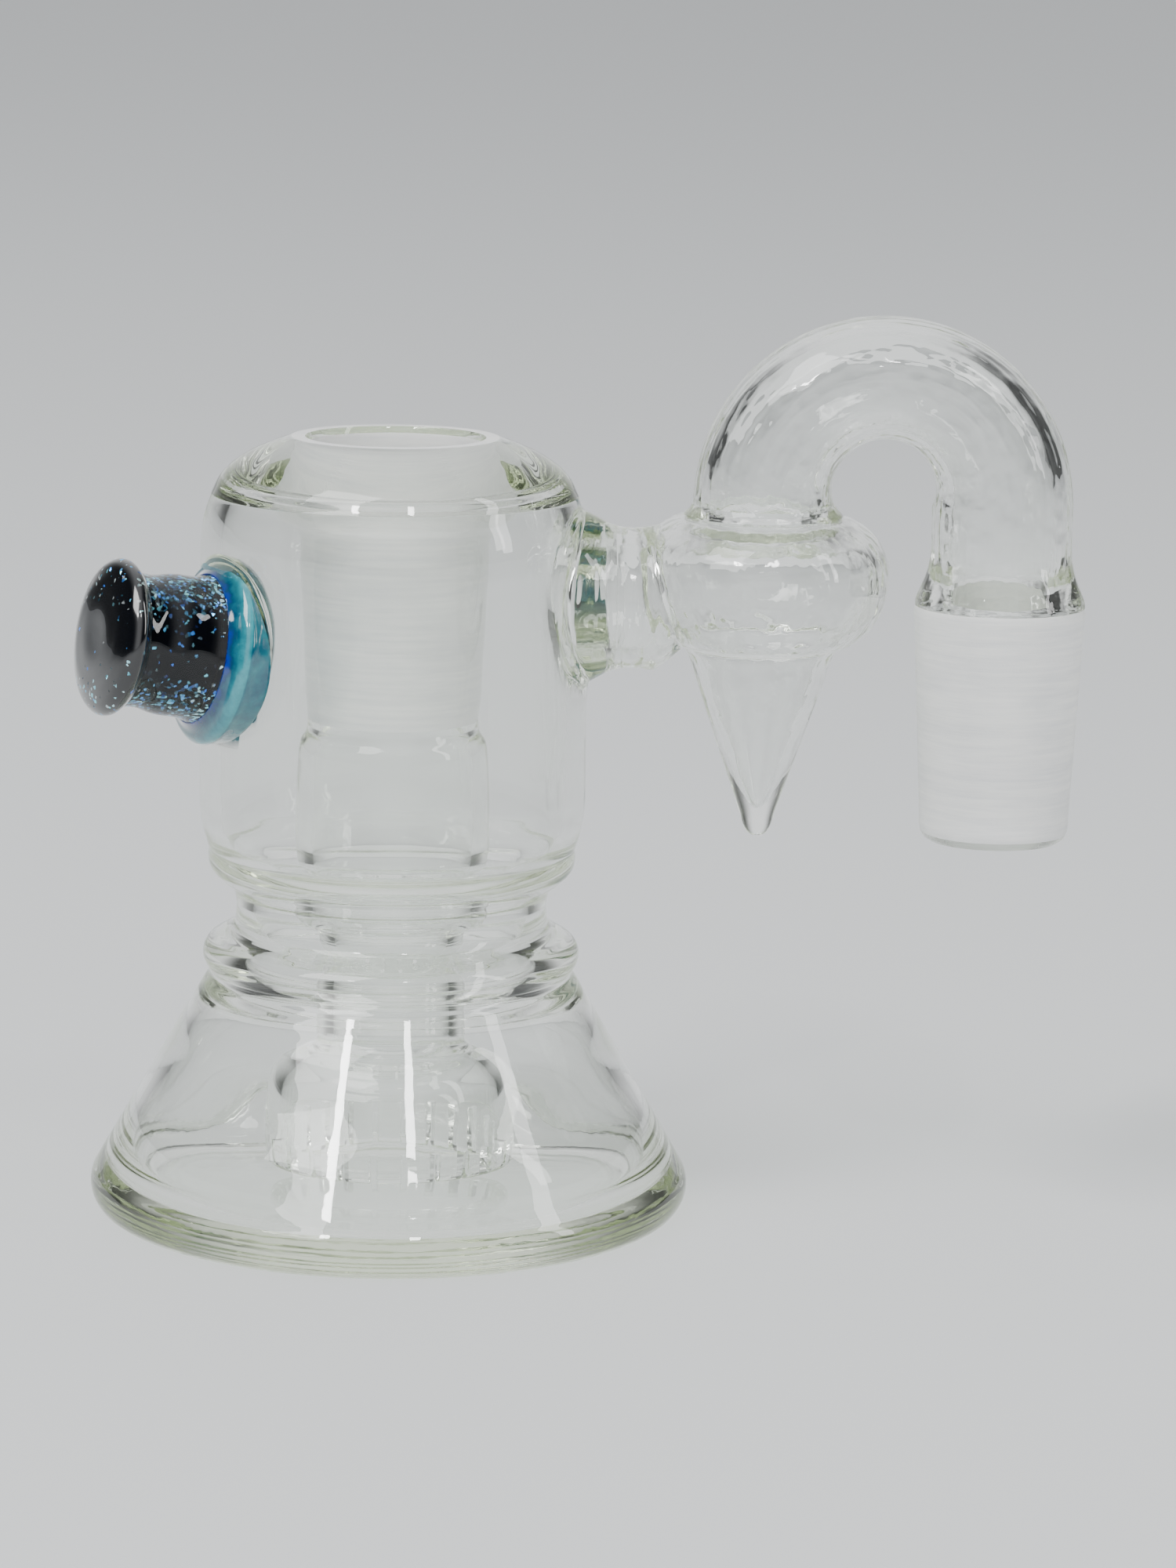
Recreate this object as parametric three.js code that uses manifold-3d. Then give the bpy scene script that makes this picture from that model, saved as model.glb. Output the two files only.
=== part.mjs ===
// Lampworked glass ash catcher: a water-filled wash chamber with ground taper joints.
// Millimetres. The origin is the centre of the floor's underside, +Z is up, and the side arm
// leaves the can along +X. Every piece is borosilicate glass, fused to its neighbours.
import * as THREE from "three";
import { mergeVertices } from "three/addons/utils/BufferGeometryUtils.js";
import Module from "manifold-3d";

// ---- Driving dimensions ----
const ROUND = 40; // facets round the flask and the can
const SMALL_ROUND = 32; // facets round the tubes
const WELD_GAP = 0.3; // clearance where one piece is cut to the shape of another
const SLIP_GAP = 0.05; // clearance between coaxial pieces

const BASE_R = 33.2; // widest radius, at the rolled rim
const RIM_ROLL = 3.3; // radius of the rolled rim
const RIM_H = 8.0; // top of the thick rim
const FLOOR_R = 27.0;
const FLOOR_T = 2.6;
const WALL = 2.0; // wall of the flask
const FLASK_H = 27.3; // top of the conical wall
const FLASK_TOP_R = 19.9;

const LOWER_RING_R = 20.75;
const LOWER_RING_H = 4.1;
const WAIST_R = 17.1;
const WAIST_H = 5.2;
const WAIST_WALL = 2.2;
const UPPER_RING_H = 4.8;
const UPPER_RING_R = 20.1;

const CAN_R = 21.2;
const CAN_WALL = 2.3;
const CAN_H = 38.6; // from the upper ring to the seam under the crown
const CROWN_H = 6.2; // thick domed top
const MOUTH_RIM_R = 11.4; // outer edge of the ground flat round the mouth

// A ground joint has a taper of one in ten on its diameter.
const JOINT_TOP_D = 18.8;
const JOINT_L = 26.0;
const JOINT_TAPER = 0.1;
const INLET_WALL = 1.3;
const OUTLET_BORE_R = 5.4;

const COLLAR_R = 10.4; // clear tube under the inlet joint
const TUBE_WALL = 1.7;
const DOWNTUBE_R = 8.0;
const DIFFUSER_R = 13.7;
const DIFFUSER_WALL = 1.7;
const DOME_H = 8.0;
const SKIRT_H = 7.0;
const SKIRT_GAP = 2.4; // between the floor and the skirt
const SLIT_PAIRS = 12; // each cut opens two slits, one on each side
const SLIT_W = 0.8;
const SLIT_H = 4.4;

const ARM_R = 7.7;
const ARM_WALL = 2.0;
const ARM_DROP = 11.2; // arm axis below the seam of the crown
const ARM_FLARE_R = 10.0;
const ARM_FLARE_L = 4.4; // from the can wall to the plain arm
const ARM_GAP = 5.1; // clear space between the can and the bulb
const BULB_R = 13.9;
const BULB_TOP = 9.0; // above the arm axis
const BULB_BOTTOM = 5.2; // below the arm axis
const BULB_WALL = 2.2;
const CONE_TOP_R = 8.7;
const CONE_L = 21.2;
const CONE_WALL = 1.4;
const CONE_TIP_R = 1.5;

const NECK_WELD_R = 9.0;
const NECK_WELD_H = 0.9;
const BEND_R = 13.1; // centreline of the gooseneck
const BEND_RISE = 0.5; // straight length over the weld
const BEND_FLAT = 0.13; // share of the tube's height lost at the crown of the bend
const OUTLET_DROP = 5.5; // straight leg below the bend
const OUTLET_FLARE_H = 5.4;

const KNOB_AZIMUTH = THREE.MathUtils.degToRad(204);
const KNOB_TILT = THREE.MathUtils.degToRad(10.5);
const KNOB_Z = 63.8;
const KNOB_BUMP_R = 10.6; // solid bump melted into the can behind the knob
const KNOB_BUMP_DEPTH = 3.6; // how far it stands into the can
const KNOB_FLANGE_R = 10.2;
const KNOB_FLANGE_T = 1.9;
const KNOB_ROOT_R = 8.6; // clear of the flange's edge, where it meets the can
const KNOB_SHAFT_R = 7.8; // at the flange
const KNOB_NECK_R = 7.1; // at the head
const KNOB_SHAFT_L = 8.1;
const KNOB_CASING = 1.6;
const KNOB_HEAD_R = 8.5;
const KNOB_HEAD_T = 3.2;

// ---- Heights and stations that follow from them ----
const WAIST_Z = FLASK_H + LOWER_RING_H;
const UPPER_RING_Z = WAIST_Z + WAIST_H;
const CAN_Z = UPPER_RING_Z + UPPER_RING_H;
const SEAM_Z = CAN_Z + CAN_H;
const MOUTH_Z = SEAM_Z + CROWN_H;
const JOINT_R = JOINT_TOP_D / 2;
const JOINT_END_R = (JOINT_TOP_D - JOINT_L * JOINT_TAPER) / 2;
const JOINT_END_Z = SEAM_Z - JOINT_L;
const SKIRT_Z = FLOOR_T + SKIRT_GAP;
const DOME_Z = SKIRT_Z + SKIRT_H;
const DOWNTUBE_Z = DOME_Z + DOME_H;
const ARM_Z = SEAM_Z - ARM_DROP;
const ARM_BORE_R = ARM_R - ARM_WALL;
const ARM_REACH = CAN_R + ARM_GAP + BULB_R; // can axis to the axis of the bulb
const BULB_TOP_Z = ARM_Z + BULB_TOP;
const BULB_BOTTOM_Z = ARM_Z - BULB_BOTTOM;
const NECK_Z = BULB_TOP_Z + NECK_WELD_H;
const BEND_Z = NECK_Z + BEND_RISE;
const OUTLET_X = ARM_REACH + 2 * BEND_R;
const OUTLET_LEG_Z = BEND_Z - OUTLET_DROP;
const OUTLET_TOP_Z = OUTLET_LEG_Z - OUTLET_FLARE_H;
const OUTLET_END_Z = OUTLET_TOP_Z - JOINT_L;

// ---- Glasses ----
const glass = (name, color, roughness) =>
  new THREE.MeshStandardMaterial({ name, color, roughness, metalness: 0 });
const CLEAR = glass("clear_glass", 0xd9e4e6, 0.05);
const FROSTED = glass("ground_glass", 0xe6e6e4, 0.7);
const TEAL = glass("teal_glass", 0x2f97a6, 0.1);
const SPARKLE = glass("sparkle_glass", 0x10182c, 0.2);

// ---- Making solids ----
const wasm = await Module();
wasm.setup();

const part = new THREE.Group();
part.name = "glass_ash_catcher";

// Turns a closed profile of [radius, height] points round the Z axis.
function turned(profile, facets) {
  const points = profile.map(([r, z]) => new THREE.Vector2(r, z));
  const area = points.reduce((sum, p, i) => {
    const q = points[(i + 1) % points.length];
    return sum + p.x * q.y - q.x * p.y;
  }, 0);
  if (area < 0) {
    points.reverse();
  }
  points.push(points[0].clone());
  return new THREE.LatheGeometry(points, facets).rotateX(Math.PI / 2);
}

// The same profile turned round a line along +X: heights become distances from the can axis.
function turnedAlongX(profile, facets) {
  return turned(profile, facets).rotateY(Math.PI / 2);
}

function solid(geometry) {
  const bare = geometry.clone();
  bare.deleteAttribute("uv");
  bare.deleteAttribute("normal");
  const merged = mergeVertices(bare, 1e-4);
  return new wasm.Manifold(
    new wasm.Mesh({
      numProp: 3,
      vertProperties: new Float32Array(merged.attributes.position.array),
      triVerts: new Uint32Array(merged.index.array),
    }),
  );
}

function geometryOf(body) {
  const mesh = body.getMesh();
  return new THREE.BufferGeometry()
    .setAttribute("position", new THREE.BufferAttribute(mesh.vertProperties, 3))
    .setIndex(new THREE.BufferAttribute(mesh.triVerts, 1));
}

function add(name, geometry, material, parent = part) {
  geometry.computeVertexNormals();
  const mesh = new THREE.Mesh(geometry, material);
  mesh.name = name;
  parent.add(mesh);
}

// Moves an inner surface in from an outer one by the wall.
const inset = (points, wall) => points.map(([r, z]) => [r - wall, z]).reverse();

// ---- Flask ----
const rollR = BASE_R - RIM_ROLL;
const coneRun = (BASE_R - FLASK_TOP_R) / (FLASK_H - RIM_ROLL);
const coneAngle = Math.atan(coneRun);
const flaskR = (z) => {
  const startR = rollR + RIM_ROLL * Math.cos(coneAngle);
  const startZ = RIM_ROLL + RIM_ROLL * Math.sin(coneAngle);
  return startR + ((FLASK_TOP_R - startR) * (z - startZ)) / (FLASK_H - startZ);
};
const wallAcross = WALL / Math.cos(coneAngle);

add("chamber_floor", turned([[0, 0], [FLOOR_R, 0], [FLOOR_R, FLOOR_T], [0, FLOOR_T]], ROUND), CLEAR);

const rollArc = [-60, -35, -10, 15].map((deg) => {
  const a = THREE.MathUtils.degToRad(deg);
  return [rollR + RIM_ROLL * Math.cos(a), RIM_ROLL + RIM_ROLL * Math.sin(a)];
});
const rimInnerR = flaskR(RIM_H) - wallAcross;
add(
  "base_rim",
  turned(
    [
      [FLOOR_R, 0],
      [rollR, 0],
      ...rollArc,
      [rollR + RIM_ROLL * Math.cos(coneAngle), RIM_ROLL + RIM_ROLL * Math.sin(coneAngle)],
      [flaskR(RIM_H), RIM_H],
      [rimInnerR, RIM_H],
      [rimInnerR + 0.1, RIM_H - 2.6],
      [rimInnerR - 0.7, FLOOR_T + 0.8],
      [FLOOR_R, FLOOR_T],
    ],
    ROUND,
  ),
  CLEAR,
);

add(
  "flask_wall",
  turned(
    [
      [flaskR(RIM_H), RIM_H],
      [FLASK_TOP_R, FLASK_H],
      [FLASK_TOP_R - wallAcross - 1.6, FLASK_H],
      [flaskR(FLASK_H - 4) - wallAcross, FLASK_H - 4],
      [rimInnerR, RIM_H],
    ],
    ROUND,
  ),
  CLEAR,
);

// ---- Rings and waist ----
const waistBoreR = WAIST_R - WAIST_WALL;
add(
  "lower_maria",
  turned(
    [
      [FLASK_TOP_R, FLASK_H],
      [LOWER_RING_R - 0.2, FLASK_H + 0.7],
      [LOWER_RING_R, FLASK_H + 1.8],
      [LOWER_RING_R - 0.4, FLASK_H + 3.0],
      [WAIST_R + 2.1, WAIST_Z - 0.35],
      [WAIST_R + 1.2, WAIST_Z],
      [waistBoreR, WAIST_Z],
      [waistBoreR - 0.2, FLASK_H + 2.0],
      [FLASK_TOP_R - wallAcross - 1.6, FLASK_H],
    ],
    ROUND,
  ),
  CLEAR,
);

add(
  "waist_neck",
  turned(
    [
      [WAIST_R + 1.2, WAIST_Z],
      [WAIST_R + 0.25, WAIST_Z + 1.1],
      [WAIST_R, WAIST_Z + 2.5],
      [WAIST_R + 0.1, UPPER_RING_Z - 1.2],
      [WAIST_R + 0.5, UPPER_RING_Z],
      [waistBoreR, UPPER_RING_Z],
      [waistBoreR, WAIST_Z],
    ],
    ROUND,
  ),
  CLEAR,
);

const canFootR = UPPER_RING_R + 0.2;
const canFootBoreR = canFootR - CAN_WALL + 0.3;
add(
  "upper_maria",
  turned(
    [
      [WAIST_R + 0.5, UPPER_RING_Z],
      [WAIST_R + 1.9, UPPER_RING_Z + 1.2],
      [UPPER_RING_R - 0.1, UPPER_RING_Z + 2.6],
      [UPPER_RING_R, UPPER_RING_Z + 3.6],
      [canFootR, CAN_Z],
      [canFootBoreR, CAN_Z],
      [waistBoreR + 1.7, CAN_Z - 1.2],
      [waistBoreR + 0.3, UPPER_RING_Z + 1.4],
      [waistBoreR, UPPER_RING_Z],
    ],
    ROUND,
  ),
  CLEAR,
);

// ---- Can ----
const seamR = CAN_R - 1.3;
const canOuter = [
  [canFootR, CAN_Z],
  [CAN_R - 0.35, CAN_Z + 2.0],
  [CAN_R, CAN_Z + 4.8],
  [CAN_R, SEAM_Z - 7.0],
  [CAN_R - 0.4, SEAM_Z - 2.8],
  [seamR, SEAM_Z],
];
const seamBoreR = seamR - CAN_WALL;
const canInner = [
  [seamBoreR, SEAM_Z],
  [CAN_R - CAN_WALL - 0.4, SEAM_Z - 3.2],
  [CAN_R - CAN_WALL, SEAM_Z - 7.0],
  [CAN_R - CAN_WALL, CAN_Z + 4.8],
  [canFootBoreR, CAN_Z],
];
const crownOuter = [
  [seamR, SEAM_Z],
  [seamR - 1.3, SEAM_Z + 2.2],
  [seamR - 3.5, SEAM_Z + 4.0],
  [seamR - 6.1, SEAM_Z + 5.2],
  [MOUTH_RIM_R, MOUTH_Z],
];
const armBore = solid(
  turnedAlongX(
    [[0, CAN_R - CAN_WALL - 8], [ARM_BORE_R, CAN_R - CAN_WALL - 8], [ARM_BORE_R, CAN_R + 3], [0, CAN_R + 3]],
    SMALL_ROUND,
  ),
).translate([0, 0, ARM_Z]);
add(
  "can_wall",
  geometryOf(solid(turned([...canOuter, ...canInner], ROUND)).subtract(armBore)),
  CLEAR,
);

// What a piece welded to the can is cut by.
const canHull = solid(
  turned(
    [
      [0, CAN_Z],
      ...canOuter.map(([r, z]) => [r + WELD_GAP, z]),
      [MOUTH_RIM_R, MOUTH_Z + WELD_GAP],
      [0, MOUTH_Z + WELD_GAP],
    ],
    ROUND,
  ),
);

add(
  "can_crown",
  turned(
    [
      ...crownOuter,
      [JOINT_R + 0.45, MOUTH_Z],
      [JOINT_R + 0.1, MOUTH_Z - 0.8],
      [JOINT_R, SEAM_Z],
    ],
    ROUND,
  ),
  CLEAR,
);

// ---- Inlet joint and what hangs from it ----
const inletOuterR = (z) => {
  const share = (z - JOINT_END_Z) / JOINT_L;
  return JOINT_END_R + (JOINT_R - JOINT_END_R) * share + INLET_WALL;
};
add(
  "inlet_joint",
  turned(
    [
      [inletOuterR(JOINT_END_Z), JOINT_END_Z],
      [inletOuterR(SEAM_Z), SEAM_Z],
      [JOINT_R, SEAM_Z],
      [JOINT_END_R, JOINT_END_Z],
    ],
    SMALL_ROUND,
  ),
  FROSTED,
);

add(
  "joint_weld_ring",
  turned(
    [
      [inletOuterR(SEAM_Z) + SLIP_GAP, SEAM_Z],
      [inletOuterR(SEAM_Z) + 3.9, SEAM_Z],
      [inletOuterR(SEAM_Z) + 3.6, SEAM_Z - 1.5],
      [inletOuterR(SEAM_Z) + 2.0, SEAM_Z - 2.9],
      [inletOuterR(SEAM_Z - 4) + SLIP_GAP, SEAM_Z - 4],
    ],
    SMALL_ROUND,
  ),
  CLEAR,
);

const collarOuter = [
  [DOWNTUBE_R, WAIST_Z],
  [DOWNTUBE_R + 0.6, WAIST_Z + 1.2],
  [COLLAR_R - 0.4, WAIST_Z + 3.0],
  [COLLAR_R, WAIST_Z + 4.6],
  [COLLAR_R, JOINT_END_Z - 3.2],
  [COLLAR_R - 0.35, JOINT_END_Z - 1.2],
  [inletOuterR(JOINT_END_Z), JOINT_END_Z],
];
add("downtube_collar", turned([...collarOuter, ...inset(collarOuter, TUBE_WALL)], SMALL_ROUND), CLEAR);

const downtube = [
  [DOWNTUBE_R, DOWNTUBE_Z],
  [DOWNTUBE_R, WAIST_Z],
];
add("downtube", turned([...downtube, ...inset(downtube, TUBE_WALL)], SMALL_ROUND), CLEAR);

const domeOuter = [
  [DIFFUSER_R, DOME_Z],
  [DIFFUSER_R - 0.4, DOME_Z + 2.6],
  [DIFFUSER_R - 1.9, DOME_Z + 5.2],
  [DOWNTUBE_R + 1.2, DOWNTUBE_Z - 0.9],
  [DOWNTUBE_R, DOWNTUBE_Z],
];
add("diffuser_dome", turned([...domeOuter, ...inset(domeOuter, DIFFUSER_WALL)], SMALL_ROUND), CLEAR);

const skirt = [
  [DIFFUSER_R - 0.3, SKIRT_Z],
  [DIFFUSER_R, SKIRT_Z + 1.5],
  [DIFFUSER_R, DOME_Z],
];
let skirtBody = solid(turned([...skirt, ...inset(skirt, DIFFUSER_WALL)], SMALL_ROUND));
for (let i = 0; i < SLIT_PAIRS; i++) {
  const blade = new THREE.BoxGeometry(2 * DIFFUSER_R + 4, SLIT_W, 2 * SLIT_H);
  blade.rotateZ((Math.PI * (i + 0.5)) / SLIT_PAIRS);
  blade.translate(0, 0, SKIRT_Z);
  skirtBody = skirtBody.subtract(solid(blade));
}
add("diffuser_skirt", geometryOf(skirtBody), CLEAR);

// ---- Side arm, bulb and drip cone ----
const bulbOuter = [
  [CONE_TOP_R, BULB_BOTTOM_Z],
  [CONE_TOP_R + 1.8, BULB_BOTTOM_Z + 0.8],
  [BULB_R - 1.2, BULB_BOTTOM_Z + 3.4],
  [BULB_R, BULB_BOTTOM_Z + 7.4],
  [BULB_R - 0.9, BULB_TOP_Z - 3.2],
  [NECK_WELD_R + 2.0, BULB_TOP_Z - 0.9],
  [NECK_WELD_R, BULB_TOP_Z],
];
const coneOuter = [
  [CONE_TOP_R, BULB_BOTTOM_Z],
  [CONE_TOP_R - 1.3, BULB_BOTTOM_Z - 2.4],
  [CONE_TIP_R, BULB_BOTTOM_Z - CONE_L + 1.4],
  [CONE_TIP_R * 0.7, BULB_BOTTOM_Z - CONE_L + 0.4],
  [0, BULB_BOTTOM_Z - CONE_L],
];
const grown = (points) => points.map(([r, z]) => [r + WELD_GAP, z]);
const bulbHull = solid(
  turned(
    [
      [0, BULB_TOP_Z + WELD_GAP],
      ...grown(coneOuter).reverse().slice(1, -1),
      ...grown(bulbOuter),
      [NECK_WELD_R, BULB_TOP_Z + WELD_GAP],
    ],
    SMALL_ROUND,
  ),
).translate([ARM_REACH, 0, 0]);

const flareX = CAN_R + ARM_FLARE_L;
const flareStartX = CAN_R - 4;
add(
  "arm_weld_flare",
  geometryOf(
    solid(
      turnedAlongX(
        [
          [ARM_FLARE_R, flareStartX],
          [ARM_FLARE_R, CAN_R],
          [ARM_FLARE_R - 1.4, CAN_R + 1.4],
          [ARM_R, flareX],
          [ARM_BORE_R, flareX],
          [ARM_BORE_R, flareStartX],
        ],
        SMALL_ROUND,
      ),
    )
      .translate([0, 0, ARM_Z])
      .subtract(canHull)
      .subtract(bulbHull),
  ),
  CLEAR,
);

add(
  "side_arm",
  geometryOf(
    solid(
      turnedAlongX(
        [
          [ARM_R, flareX],
          [ARM_R, ARM_REACH - CONE_TOP_R],
          [ARM_BORE_R, ARM_REACH - CONE_TOP_R],
          [ARM_BORE_R, flareX],
        ],
        SMALL_ROUND,
      ),
    )
      .translate([0, 0, ARM_Z])
      .subtract(bulbHull),
  ),
  CLEAR,
);

const bulbInner = [
  [ARM_BORE_R, BULB_TOP_Z],
  [NECK_WELD_R + 0.6, BULB_TOP_Z - BULB_WALL],
  [BULB_R - BULB_WALL, BULB_BOTTOM_Z + 7.4],
  [CONE_TOP_R + 0.8, BULB_BOTTOM_Z + 2.8],
  [CONE_TOP_R - CONE_WALL, BULB_BOTTOM_Z],
];
const bulbBore = solid(
  turnedAlongX(
    [[0, CAN_R], [ARM_BORE_R - 0.6, CAN_R], [ARM_BORE_R - 0.6, ARM_REACH], [0, ARM_REACH]],
    SMALL_ROUND,
  ),
).translate([0, 0, ARM_Z + 1.0]);
add(
  "arm_bulb",
  geometryOf(
    solid(turned([...bulbOuter, ...bulbInner], SMALL_ROUND))
      .translate([ARM_REACH, 0, 0])
      .subtract(bulbBore),
  ),
  CLEAR,
);

add(
  "drip_cone",
  turned(
    [
      ...coneOuter,
      [0, BULB_BOTTOM_Z - CONE_L + 2.6],
      [CONE_TOP_R - 1.3 - CONE_WALL, BULB_BOTTOM_Z - 2.4],
      [CONE_TOP_R - CONE_WALL, BULB_BOTTOM_Z],
    ],
    SMALL_ROUND,
  ).translate(ARM_REACH, 0, 0),
  CLEAR,
);

// ---- Gooseneck and outlet joint ----
add(
  "gooseneck_weld",
  turned(
    [
      [NECK_WELD_R, BULB_TOP_Z],
      [NECK_WELD_R - 0.2, BULB_TOP_Z + 0.5],
      [ARM_R, NECK_Z],
      [ARM_BORE_R, NECK_Z],
      [ARM_BORE_R, BULB_TOP_Z],
    ],
    SMALL_ROUND,
  ).translate(ARM_REACH, 0, 0),
  CLEAR,
);

const bendX = ARM_REACH + BEND_R;
const neckPath = new THREE.CurvePath();
neckPath.add(
  new THREE.LineCurve3(
    new THREE.Vector3(ARM_REACH, 0, NECK_Z),
    new THREE.Vector3(ARM_REACH, 0, BEND_Z),
  ),
);
const bendSteps = 16;
for (let i = 0; i < bendSteps; i++) {
  const at = (k) => {
    const a = Math.PI * (1 - k / bendSteps);
    return new THREE.Vector3(bendX + BEND_R * Math.cos(a), 0, BEND_Z + BEND_R * Math.sin(a));
  };
  neckPath.add(new THREE.LineCurve3(at(i), at(i + 1)));
}
neckPath.add(
  new THREE.LineCurve3(
    new THREE.Vector3(OUTLET_X, 0, BEND_Z),
    new THREE.Vector3(OUTLET_X, 0, OUTLET_LEG_Z),
  ),
);
const ring = new THREE.Shape();
ring.absarc(0, 0, ARM_R, 0, 2 * Math.PI, false);
const bore = new THREE.Path();
bore.absarc(0, 0, ARM_BORE_R, 0, 2 * Math.PI, true);
ring.holes.push(bore);
const neckGeometry = new THREE.ExtrudeGeometry(ring, {
  steps: 20,
  curveSegments: 16,
  bevelEnabled: false,
  extrudePath: neckPath,
});
// The tube flattens towards the inside of the bend as it is pulled round.
const neckPoints = neckGeometry.getAttribute("position");
for (let i = 0; i < neckPoints.count; i++) {
  const x = neckPoints.getX(i) - bendX;
  const z = neckPoints.getZ(i) - BEND_Z;
  if (z > 0) {
    const radius = Math.hypot(x, z);
    const keep = 1 - BEND_FLAT * (z / radius);
    const outside = BEND_R + ARM_R;
    const moved = outside - (outside - radius) * keep;
    neckPoints.setX(i, bendX + (x * moved) / radius);
    neckPoints.setZ(i, BEND_Z + (z * moved) / radius);
  }
}
add("gooseneck", neckGeometry, CLEAR);

add(
  "outlet_flare",
  turned(
    [
      [JOINT_R - 0.1, OUTLET_TOP_Z],
      [JOINT_R, OUTLET_TOP_Z + 0.7],
      [ARM_R + 0.7, OUTLET_TOP_Z + 2.4],
      [ARM_R, OUTLET_LEG_Z],
      [ARM_BORE_R, OUTLET_LEG_Z],
      [OUTLET_BORE_R, OUTLET_TOP_Z],
    ],
    SMALL_ROUND,
  ).translate(OUTLET_X, 0, 0),
  CLEAR,
);

add(
  "outlet_joint",
  turned(
    [
      [OUTLET_BORE_R, OUTLET_END_Z],
      [JOINT_END_R - 0.7, OUTLET_END_Z],
      [JOINT_END_R, OUTLET_END_Z + 0.9],
      [JOINT_R, OUTLET_TOP_Z],
      [OUTLET_BORE_R, OUTLET_TOP_Z],
    ],
    SMALL_ROUND,
  ).translate(OUTLET_X, 0, 0),
  FROSTED,
);

// ---- Knob on the side of the can ----
// Its own pieces are turned round the knob's axis and set on the can wall in one turned group.
const knob = new THREE.Group();
knob.name = "knob";
knob.rotation.set(0, -KNOB_TILT, KNOB_AZIMUTH, "ZYX");
knob.position.set(CAN_R * Math.cos(KNOB_AZIMUTH), CAN_R * Math.sin(KNOB_AZIMUTH), KNOB_Z);
part.add(knob);
knob.updateMatrixWorld(true);

const shaftX = KNOB_FLANGE_T + WELD_GAP;
const headX = shaftX + KNOB_SHAFT_L + WELD_GAP;
const fromCan = knob.matrixWorld.clone().invert();
const placed = (profile) => solid(turnedAlongX(profile, SMALL_ROUND).applyMatrix4(knob.matrixWorld));

const canCavity = solid(
  turned([[0, CAN_Z], ...canInner.map(([r, z]) => [r - WELD_GAP, z]).reverse(), [0, SEAM_Z]], ROUND),
);
const bumpX = -CAN_WALL - KNOB_BUMP_DEPTH;
const bump = placed([
  [0, bumpX],
  [KNOB_BUMP_R * 0.5, bumpX + KNOB_BUMP_DEPTH * 0.2],
  [KNOB_BUMP_R * 0.82, bumpX + KNOB_BUMP_DEPTH * 0.62],
  [KNOB_BUMP_R, -CAN_WALL + 0.6],
  [KNOB_BUMP_R, 4],
  [0, 4],
]).intersect(canCavity);
add("knob_weld_bump", geometryOf(bump).applyMatrix4(fromCan), CLEAR, knob);

const flange = placed([
  [0, -4],
  [KNOB_ROOT_R - 0.4, -4],
  [KNOB_ROOT_R, 0],
  [KNOB_FLANGE_R - 0.3, 0],
  [KNOB_FLANGE_R, 0.5],
  [KNOB_FLANGE_R - 0.4, 1.1],
  [KNOB_SHAFT_R + 0.5, KNOB_FLANGE_T],
  [0, KNOB_FLANGE_T],
]).subtract(canHull);
add("knob_flange", geometryOf(flange).applyMatrix4(fromCan), TEAL, knob);

const casing = [
  [KNOB_SHAFT_R, shaftX],
  [KNOB_NECK_R + 0.7, shaftX + KNOB_SHAFT_L * 0.45],
  [KNOB_NECK_R, shaftX + KNOB_SHAFT_L * 0.8],
  [KNOB_NECK_R + 0.3, shaftX + KNOB_SHAFT_L],
];
add("knob_casing", turnedAlongX([...casing, ...inset(casing, KNOB_CASING)], SMALL_ROUND), CLEAR, knob);

const core = casing.map(([r, x]) => [r - KNOB_CASING - SLIP_GAP, x]);
add(
  "knob_core",
  turnedAlongX([[0, shaftX], ...core, [0, shaftX + KNOB_SHAFT_L]], SMALL_ROUND),
  SPARKLE,
  knob,
);

add(
  "knob_head",
  turnedAlongX(
    [
      [0, headX],
      [KNOB_NECK_R + 0.3, headX],
      [KNOB_HEAD_R - 0.4, headX + 0.5],
      [KNOB_HEAD_R, headX + 1.1],
      [KNOB_HEAD_R - 0.3, headX + 2.0],
      [KNOB_HEAD_R - 1.8, headX + KNOB_HEAD_T - 0.25],
      [KNOB_HEAD_R - 4.2, headX + KNOB_HEAD_T],
      [0, headX + KNOB_HEAD_T],
    ],
    SMALL_ROUND,
  ),
  SPARKLE,
  knob,
);

export default part;
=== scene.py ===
import math

import bpy
from mathutils import Matrix, Vector


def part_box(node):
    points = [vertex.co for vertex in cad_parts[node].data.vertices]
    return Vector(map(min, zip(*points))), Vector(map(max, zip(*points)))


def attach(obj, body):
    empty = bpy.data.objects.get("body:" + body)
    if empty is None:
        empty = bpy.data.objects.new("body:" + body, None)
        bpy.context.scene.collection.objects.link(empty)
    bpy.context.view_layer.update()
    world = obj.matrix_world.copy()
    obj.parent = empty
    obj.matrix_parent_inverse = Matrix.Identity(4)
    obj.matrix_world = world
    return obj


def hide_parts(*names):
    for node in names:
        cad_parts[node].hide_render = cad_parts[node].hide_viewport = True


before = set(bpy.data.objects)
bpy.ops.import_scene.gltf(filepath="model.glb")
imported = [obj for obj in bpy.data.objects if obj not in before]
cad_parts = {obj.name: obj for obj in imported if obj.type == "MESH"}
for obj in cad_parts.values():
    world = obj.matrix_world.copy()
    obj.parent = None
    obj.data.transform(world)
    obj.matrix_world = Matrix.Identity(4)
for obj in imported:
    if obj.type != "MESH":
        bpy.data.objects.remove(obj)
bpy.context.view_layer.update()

# ---- Flask and can ----
# One blown borosilicate body: a flat floor in a thick rolled rim, a cone, two maria rings pressed out of
# the neck with jaws, and a straight can. The flare of the side arm and the lump behind the knob are melted
# into the can's wall, so they have no edge of their own.
MM = 0.001


def span(name):
    """A CAD node's lowest and highest corner, in millimetres."""
    return [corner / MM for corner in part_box(name)]


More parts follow.
